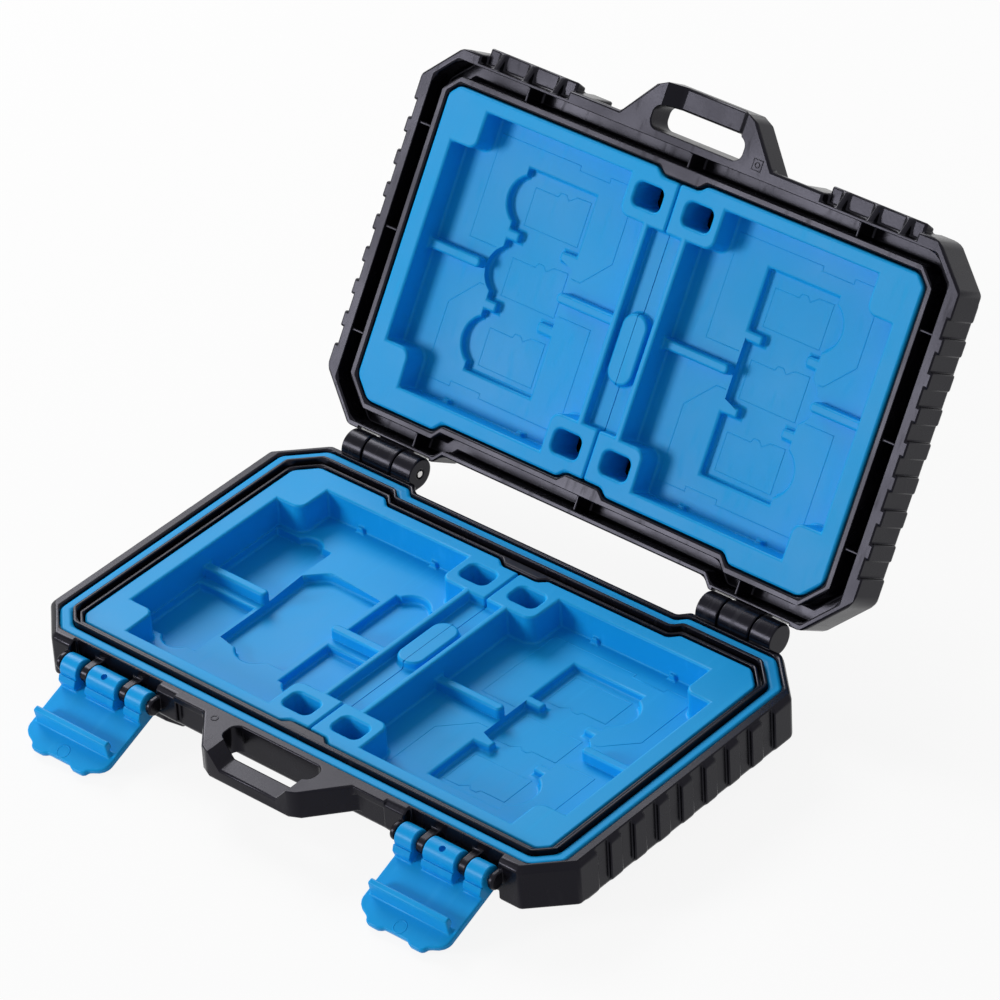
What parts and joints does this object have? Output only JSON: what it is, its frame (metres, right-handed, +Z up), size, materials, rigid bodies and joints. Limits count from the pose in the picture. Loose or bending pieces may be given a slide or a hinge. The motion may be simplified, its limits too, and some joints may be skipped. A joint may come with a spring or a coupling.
{
  "type": "memory card case",
  "caption": "Flat hinged case for memory cards, with shaped card inserts, a seal ring, front snap latches and a handle loop at the front edge.",
  "frame": {"origin": "on the table under the middle of the base's flat bottom", "axes": "+X along the long side to the right, +Y to the hinges at the rear, +Z up"},
  "size_m": [0.1188, 0.1366, 0.0805],
  "materials": {
    "shell": "satin",
    "insert": "satin",
    "seal": "satin",
    "latch": "satin",
    "pin": "polished"
  },
  "bodies": {
    "base": {"base_shell": "shell", "base_gasket": "seal", "base_tray_left": "insert", "base_tray_right": "insert", "hinge_pin_left": "pin", "hinge_pin_right": "pin", "latch_pin_left": "pin", "latch_pin_right": "pin"},
    "lid": {"lid_shell": "shell", "lid_tray_left": "insert", "lid_tray_right": "insert"},
    "left_latch": {"latch_left": "latch"},
    "right_latch": {"latch_right": "latch"}
  },
  "joints": [
    {"name": "lid_hinge", "type": "hinge", "parent": "base", "child": "lid", "pos_m": [0, 0.0372, 0.0128], "axis": [1, 0, 0], "range_deg": [0, 122.58]},
    {"name": "left_latch_hinge", "type": "hinge", "parent": "base", "child": "left_latch", "pos_m": [-0.038, -0.037, 0.0092], "axis": [-1, 0, 0], "range_deg": [0, 112.5]},
    {"name": "right_latch_hinge", "type": "hinge", "parent": "base", "child": "right_latch", "pos_m": [0.038, -0.037, 0.0092], "axis": [-1, 0, 0], "range_deg": [0, 112.5]}
  ]
}
